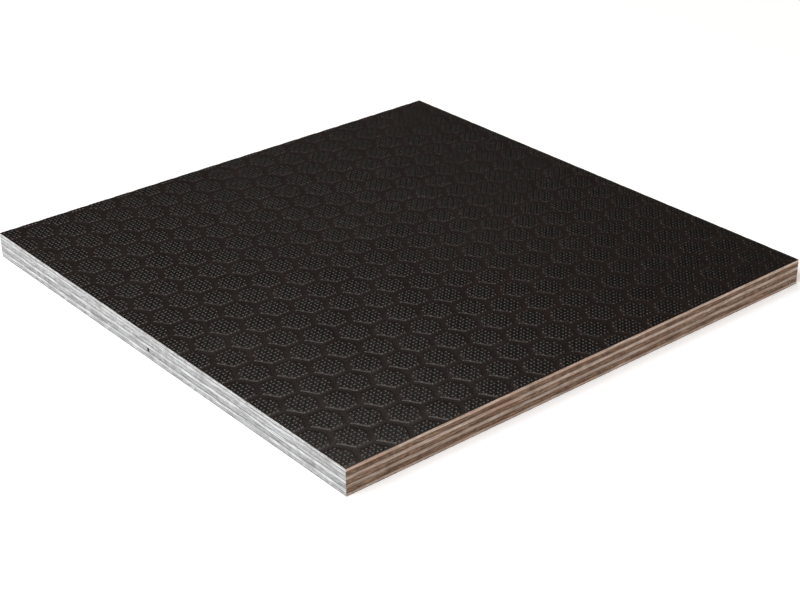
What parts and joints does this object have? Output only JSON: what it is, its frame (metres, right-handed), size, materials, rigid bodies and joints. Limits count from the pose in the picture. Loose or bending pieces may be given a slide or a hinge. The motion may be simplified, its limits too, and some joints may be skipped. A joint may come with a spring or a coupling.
{
  "type": "film-faced plywood sheet",
  "caption": "Square sawn sheet of film-faced birch plywood, with an anti-slip hexagon relief on its upper face and bare cross-laid veneers at its edges.",
  "frame": {"origin": "centre of the underside", "axes": "+Z out of the embossed face, +X along the grain of the face veneers, +Y across it"},
  "size_m": [0.197, 0.2004, 0.0093],
  "materials": {
    "embossed_film": "satin dark brown phenolic film, embossed",
    "smooth_film": "satin dark brown phenolic film, smooth",
    "long_grain_veneer": "sawn birch, grain along X",
    "cross_grain_veneer": "sawn birch, grain along Y"
  },
  "bodies": {
    "root": {"film_top": "embossed_film", "veneer_1": "long_grain_veneer", "veneer_2": "cross_grain_veneer", "veneer_3": "long_grain_veneer", "veneer_4": "cross_grain_veneer", "veneer_5": "long_grain_veneer", "veneer_6": "cross_grain_veneer", "veneer_7": "long_grain_veneer", "film_bottom": "smooth_film"}
  },
  "joints": []
}
